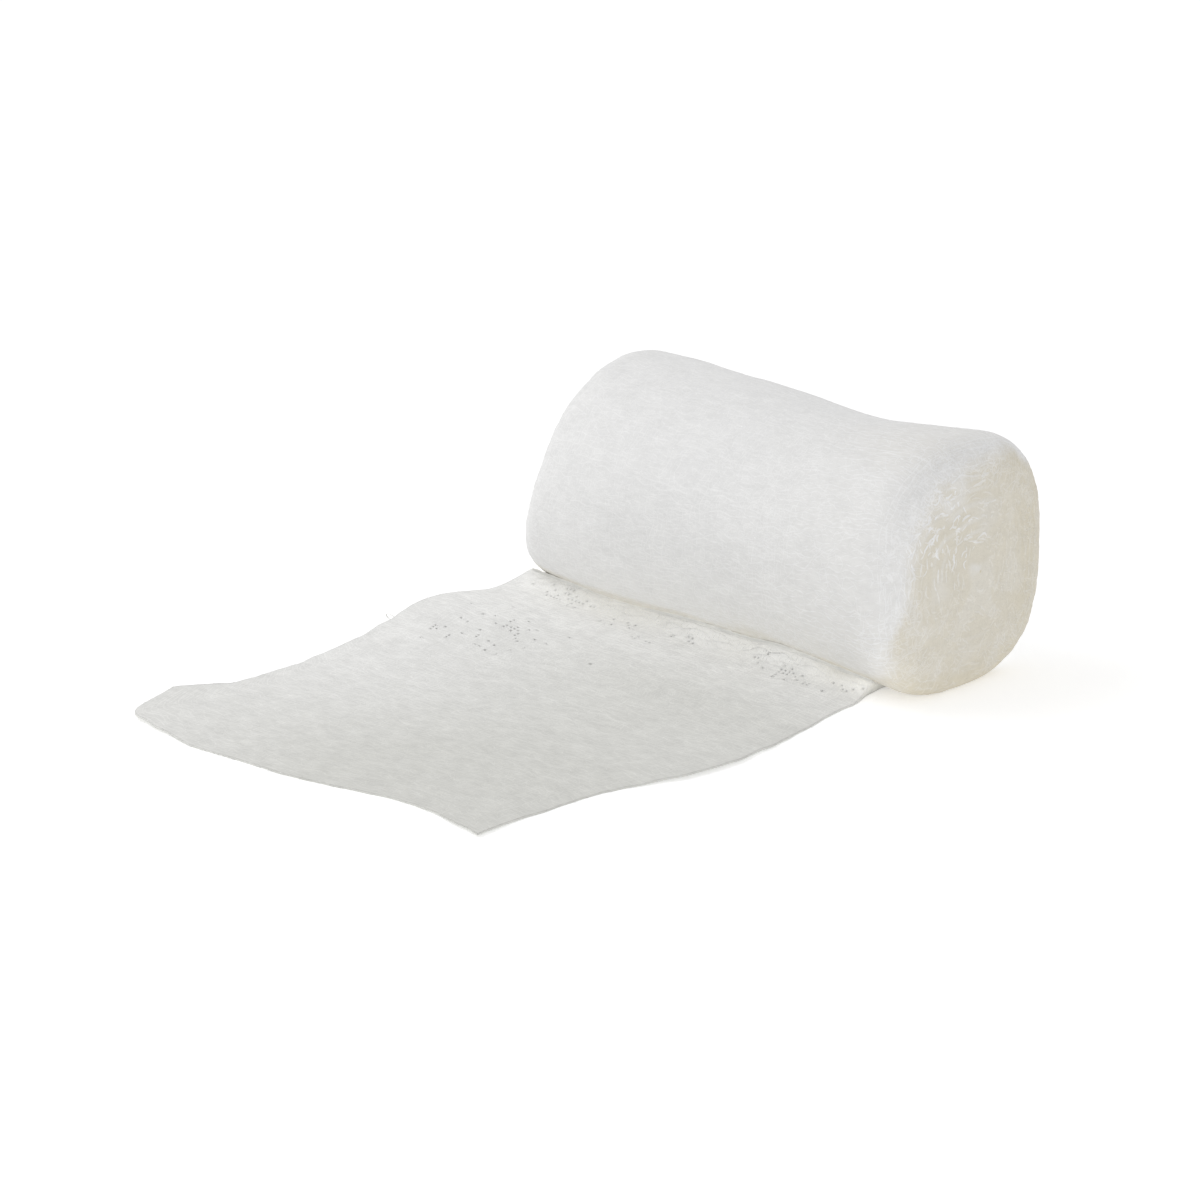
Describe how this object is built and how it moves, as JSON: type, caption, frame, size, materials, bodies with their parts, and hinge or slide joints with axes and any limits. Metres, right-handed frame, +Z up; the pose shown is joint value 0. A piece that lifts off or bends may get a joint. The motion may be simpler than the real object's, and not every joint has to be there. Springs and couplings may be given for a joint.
{
  "type": "gauze bandage roll",
  "caption": "Soft white crinkled gauze bandage wound into a coreless roll, with its loose end drawn out and laid flat in front, for dressing and padding wounds.",
  "frame": {"origin": "on the surface the bandage lies on, under the centre of the whole footprint", "axes": "+Z up, X along the roll's axis, -Y the way the loose end is drawn out"},
  "size_m": [0.127, 0.1698, 0.0563],
  "materials": {
    "wound_gauze": "fluffy bleached cotton gauze, matt, cream at the wound ends",
    "laid_gauze": "fluffy bleached cotton gauze, matt, open weave"
  },
  "bodies": {
    "root": {"wound_roll": "wound_gauze", "loose_end": "laid_gauze"}
  },
  "joints": []
}
